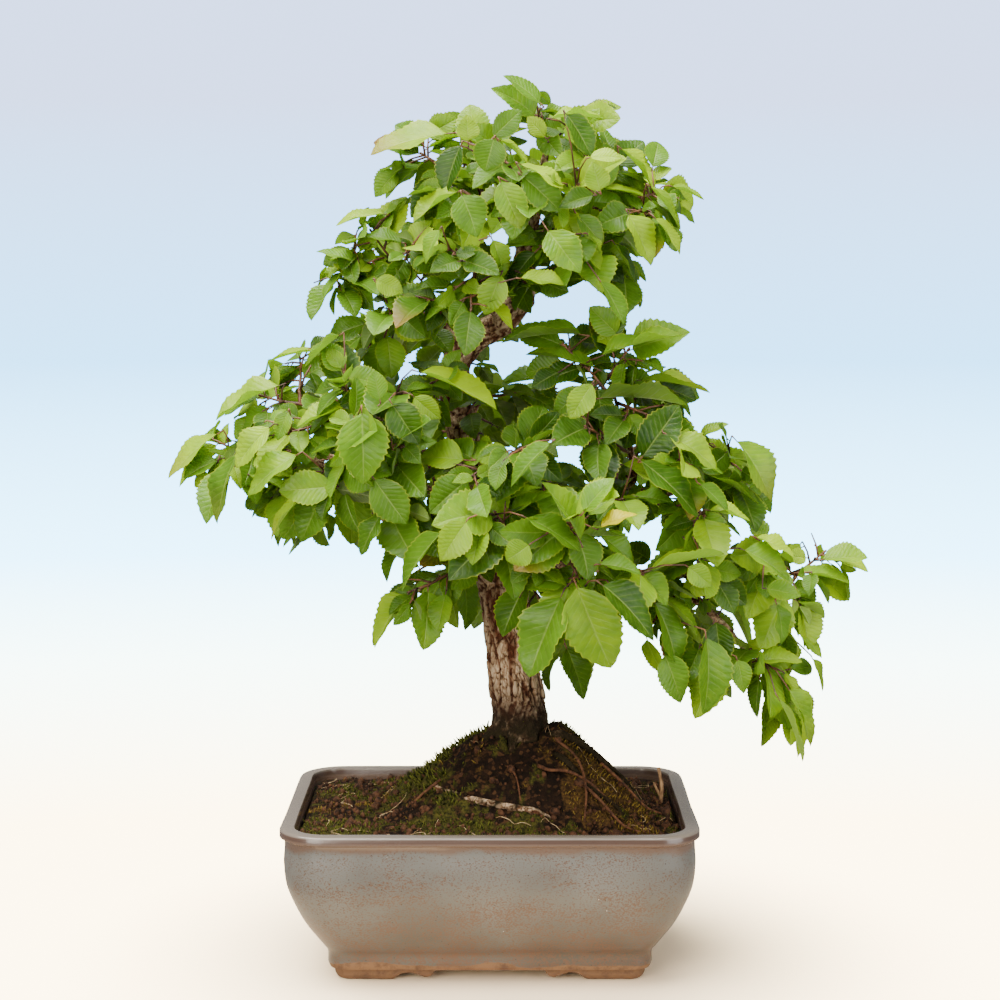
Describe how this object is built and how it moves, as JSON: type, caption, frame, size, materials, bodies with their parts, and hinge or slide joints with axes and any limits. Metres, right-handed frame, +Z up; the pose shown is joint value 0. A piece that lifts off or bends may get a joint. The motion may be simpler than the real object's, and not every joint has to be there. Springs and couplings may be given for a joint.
{
  "type": "korean hornbeam bonsai",
  "caption": "Small hornbeam tree with a leaning trunk, layered leafy branches and surface roots, standing in soil in a rounded rectangular glazed pot on cloud feet.",
  "frame": {"origin": "ground level under the middle of the whole object's box, with the pot's middle 14.7 mm to the left and 7.5 mm behind it", "axes": "+Z up, +Y towards the back, +X to the right, as seen from the front, where the tree's lowest branch reaches right"},
  "size_m": [0.3204, 0.1996, 0.4056],
  "materials": {
    "glaze": "satin grey-blue stoneware glaze with brown speckles, over bare ochre clay at the feet",
    "screen": "matte black mesh",
    "soil": "damp dark potting mix with moss and fine roots",
    "bark": "rough fissured grey-tan bark",
    "dead_wood": "dry red-brown twig",
    "leaf": null
  },
  "bodies": {
    "root": {"pot": "glaze", "drain_screen_left": "screen", "drain_screen_right": "screen", "soil": "soil", "trunk": "bark", "dead_twig": "dead_wood", "crown_top": "leaf", "crown_left_tip": "leaf", "crown_left_mid": "leaf", "crown_front": "leaf", "crown_front_right": "leaf", "crown_right_tip": "leaf", "crown_right_mid": "leaf", "crown_low_right": "leaf", "crown_low_front": "leaf", "crown_back_left": "leaf", "crown_back_top": "leaf", "crown_back_right": "leaf", "crown_back_side": "leaf", "shelf_tip": "leaf", "shelf_top": "leaf", "shelf_under": "leaf", "shelf_front": "leaf", "shelf_inner": "leaf", "shelf_back": "leaf", "shelf_back_right": "leaf", "left_tip": "leaf", "left_drop": "leaf", "left_shoulder": "leaf", "left_crest": "leaf", "left_inner": "leaf", "left_face": "leaf", "left_face_inner": "leaf", "left_under": "leaf", "left_back": "leaf", "left_back_mid": "leaf", "left_back_inner": "leaf", "front_left": "leaf", "front_low": "leaf", "front_tip": "leaf", "front_face": "leaf", "front_face_side": "leaf", "spur_tip": "leaf", "spur_side": "leaf", "spur_low": "leaf", "right_crest": "leaf", "right_face": "leaf", "right_inner": "leaf", "right_back": "leaf", "right_back_mid": "leaf", "low_tip": "leaf", "low_mid": "leaf", "low_face": "leaf", "low_top": "leaf", "far_tip": "leaf", "far_mid": "leaf", "far_back": "leaf", "back_low_left": "leaf", "back_low_right": "leaf", "back_mid": "leaf"}
  },
  "joints": []
}
